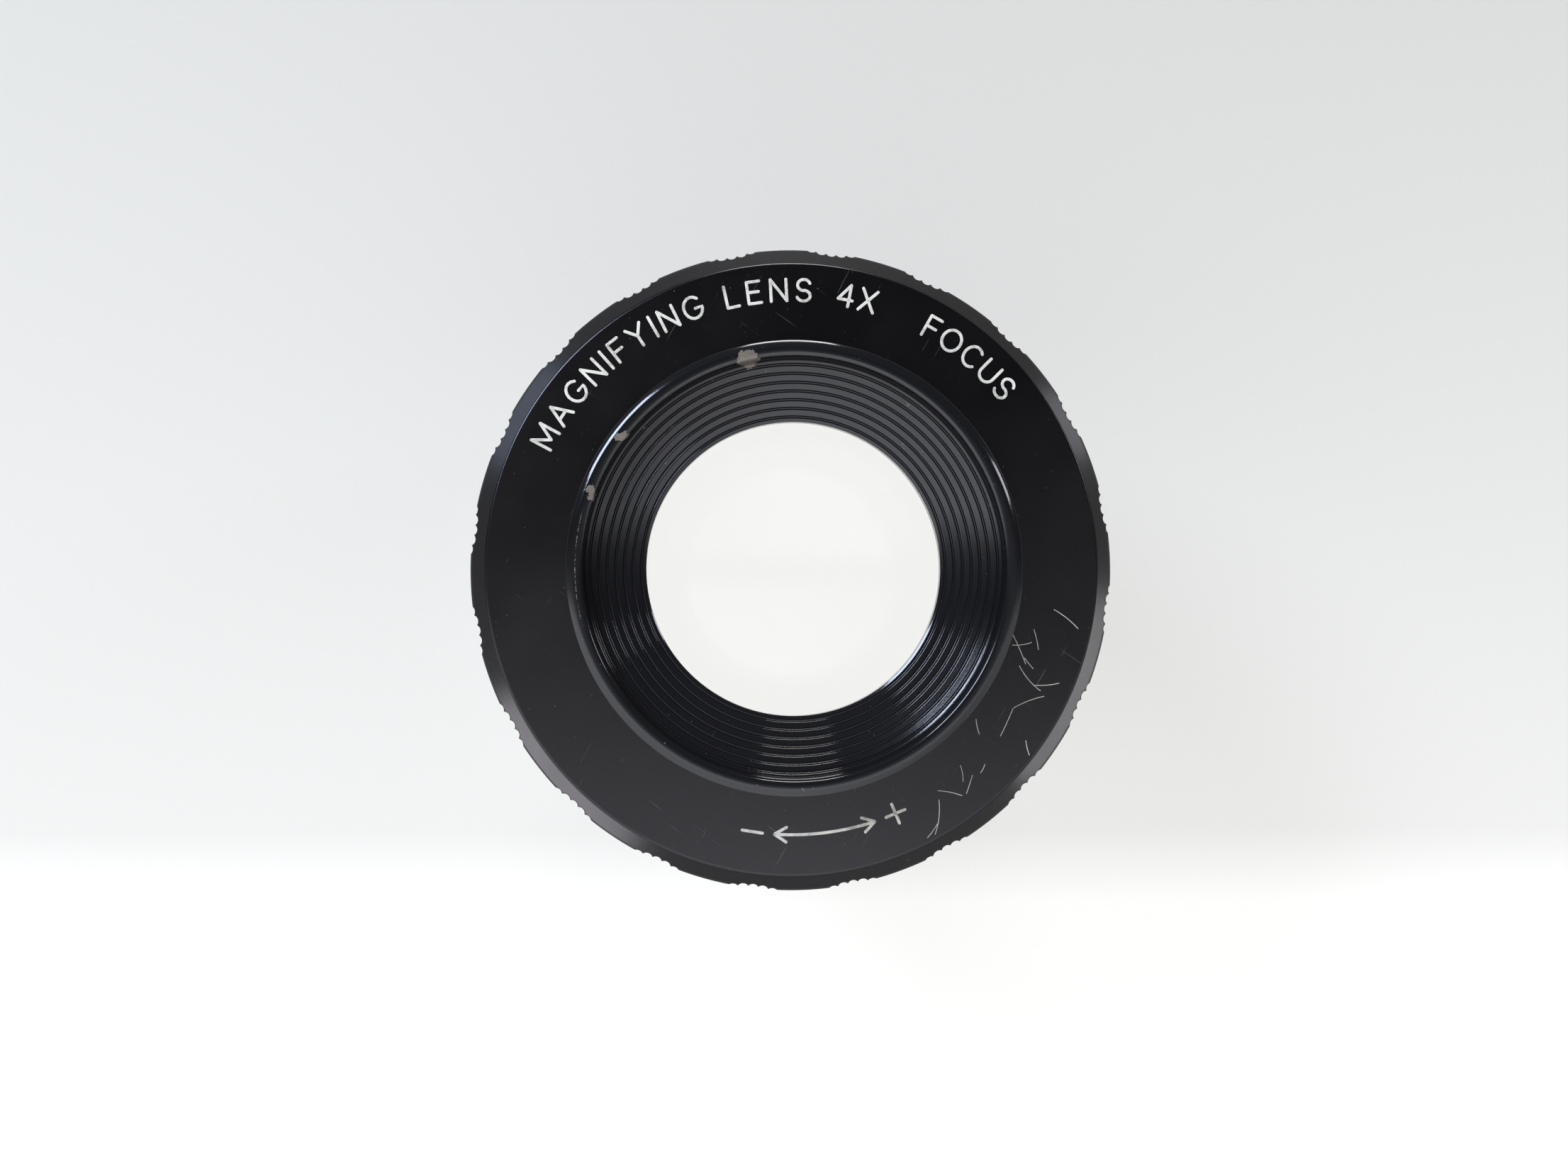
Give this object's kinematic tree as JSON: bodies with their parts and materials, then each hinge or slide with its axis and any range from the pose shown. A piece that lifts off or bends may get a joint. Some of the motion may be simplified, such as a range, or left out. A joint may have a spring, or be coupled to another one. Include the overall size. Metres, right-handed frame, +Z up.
{
  "type": "focusing stand loupe",
  "caption": "Focusing stand loupe: a knurled black focus ring with a domed eyepiece lip moves a keyed lens unit in a barrel on a clear skirt.",
  "frame": {"origin": "centre of the skirt's foot, on the surface the loupe stands on", "axes": "+Z up along the optical axis, towards the eye; +Y is the top of the engraved face"},
  "size_m": [0.06, 0.06, 0.062],
  "materials": {
    "black_anodised": "satin black paint over turned aluminium",
    "eyepiece_black": "glossy black paint over turned aluminium, chipped at the lip",
    "barrel_black": "satin black",
    "flocked_black": "matt anti-reflection black",
    "screw_steel": "blackened steel",
    "sleeve_brass": "turned brass, greased",
    "washer_plastic": "dull black washer",
    "clear_acrylic": "clear polished acrylic",
    "coated_glass": "coated optical glass"
  },
  "bodies": {
    "stand": {"main_barrel": "barrel_black", "guide_screw": "screw_steel", "light_baffle": "flocked_black", "field_stop": "flocked_black", "clear_skirt": "clear_acrylic", "skirt_screws": "screw_steel", "thrust_washer": "washer_plastic"},
    "focus_head": {"focus_ring": "black_anodised", "ring_screws": "screw_steel"},
    "lens_unit": {"focus_tube": "barrel_black", "helicoid_sleeve": "sleeve_brass", "lens_cell": "barrel_black", "eyepiece_cup": "eyepiece_black", "lens_washer": "washer_plastic", "front_flint": "coated_glass", "front_crown": "coated_glass", "lens_spacer": "flocked_black", "rear_crown": "coated_glass", "rear_flint": "coated_glass", "rear_retaining_ring": "barrel_black"}
  },
  "joints": [
    {"name": "focus_turn", "type": "hinge", "parent": "stand", "child": "focus_head", "pos_m": [0, 0, 0.05], "axis": [0, 0, 1], "range_deg": [0, 240]},
    {"name": "focus_travel", "type": "slide", "parent": "stand", "child": "lens_unit", "axis": [0, 0, 1], "range_m": [0, 0.004]}
  ],
  "couplings": [
    {"joint": "focus_travel", "follows": "focus_turn", "m_per_rad": 0.000954}
  ]
}
